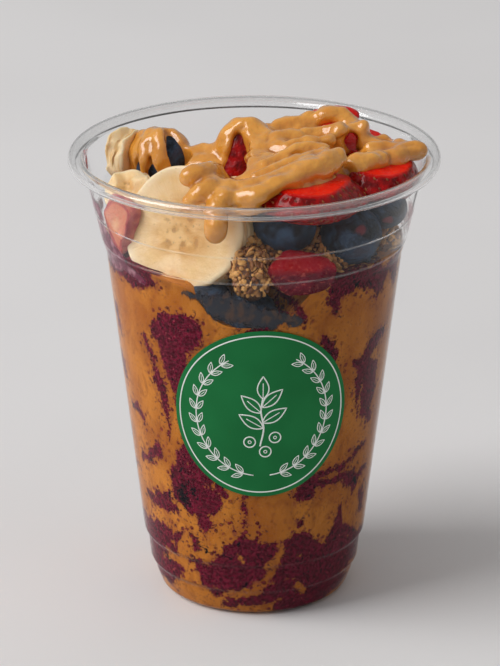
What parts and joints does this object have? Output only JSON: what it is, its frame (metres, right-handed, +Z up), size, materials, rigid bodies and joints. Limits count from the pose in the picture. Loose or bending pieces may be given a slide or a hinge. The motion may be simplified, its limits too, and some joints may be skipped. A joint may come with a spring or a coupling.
{
  "type": "acai bowl in a clear cup",
  "caption": "Clear plastic cup of acai smoothie topped with granola, banana, blueberries, strawberries and a thick peanut butter drizzle.",
  "frame": {"origin": "centre of the circle the cup stands on", "axes": "+Z up the cup's axis, -Y towards the front, where the sticker is"},
  "size_m": [0.095, 0.095, 0.1286],
  "materials": {
    "cup": "clear thermoformed plastic, polished",
    "sticker": "satin printed label, green with a white ring and a leaf sprig",
    "acai": "smooth frozen puree, purple marbled with orange-brown nut butter",
    "granola": "dry toasted oats",
    "banana": "moist cut banana",
    "blueberry": "dark skin with a pale bloom",
    "strawberry": "wet red skin and flesh",
    "peanut_butter": "glossy runny nut butter"
  },
  "bodies": {
    "root": {"cup": "cup", "sticker": "sticker", "blueberry_coated": "blueberry", "blueberry_right": "blueberry", "blueberry_centre": "blueberry", "blueberry_far_right": "blueberry", "blueberry_tucked": "blueberry", "blueberry_low_left": "blueberry", "blueberry_low_middle": "blueberry", "blueberry_back_left": "blueberry", "blueberry_back_right": "blueberry", "strawberry_chunk": "strawberry", "strawberry_front": "strawberry", "strawberry_right": "strawberry", "strawberry_edge": "strawberry", "strawberry_tip": "strawberry", "strawberry_upright": "strawberry", "strawberry_back": "strawberry", "strawberry_left": "strawberry", "banana_front": "banana", "banana_left": "banana", "banana_back": "banana", "banana_middle": "banana", "acai": "acai", "granola": "granola", "peanut_butter": "peanut_butter"}
  },
  "joints": []
}
